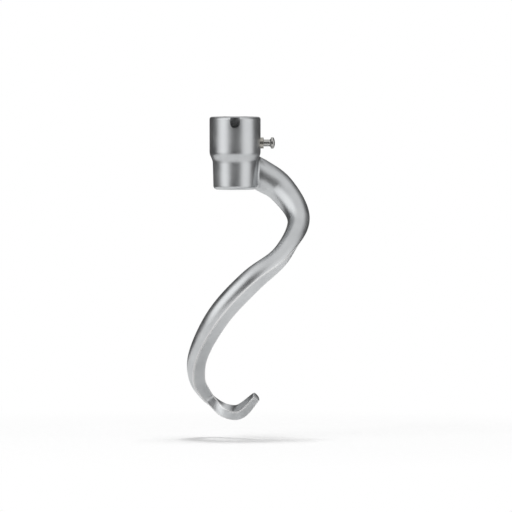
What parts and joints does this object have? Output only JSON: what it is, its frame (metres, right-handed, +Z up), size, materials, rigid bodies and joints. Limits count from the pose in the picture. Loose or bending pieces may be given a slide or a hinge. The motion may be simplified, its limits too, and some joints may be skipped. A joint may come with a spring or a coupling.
{
  "type": "stand mixer dough hook",
  "caption": "Cast spiral dough hook for a planetary stand mixer, with a socket hub, a drive notch in its rim and a spring-loaded side pin that locks it on the shaft.",
  "frame": {"origin": "centre of the shaft socket's mouth, at the top of the hub", "axes": "+Z up the mixer's shaft, out of the socket; +X towards the pull knob; -Y towards the drive notch"},
  "size_m": [0.0962, 0.0699, 0.2375],
  "materials": {
    "cast_aluminium": "burnished cast aluminium with a machined socket and rim",
    "turned_steel": "fine turned stainless steel",
    "spring_steel": "drawn spring wire",
    "polished_steel": "turned and polished stainless steel"
  },
  "bodies": {
    "hook": {"hook_casting": "cast_aluminium", "plunger_bush": "turned_steel", "return_spring": "spring_steel"},
    "plunger": {"lock_pin": "turned_steel", "pull_knob": "polished_steel"}
  },
  "joints": [
    {"name": "pin_pull", "type": "slide", "parent": "hook", "child": "plunger", "axis": [1, 0, 0], "range_m": [0, 0.0029], "stiffness_N_per_m": 1000, "springref_m": -0.004, "deforming": ["return_spring"]}
  ]
}
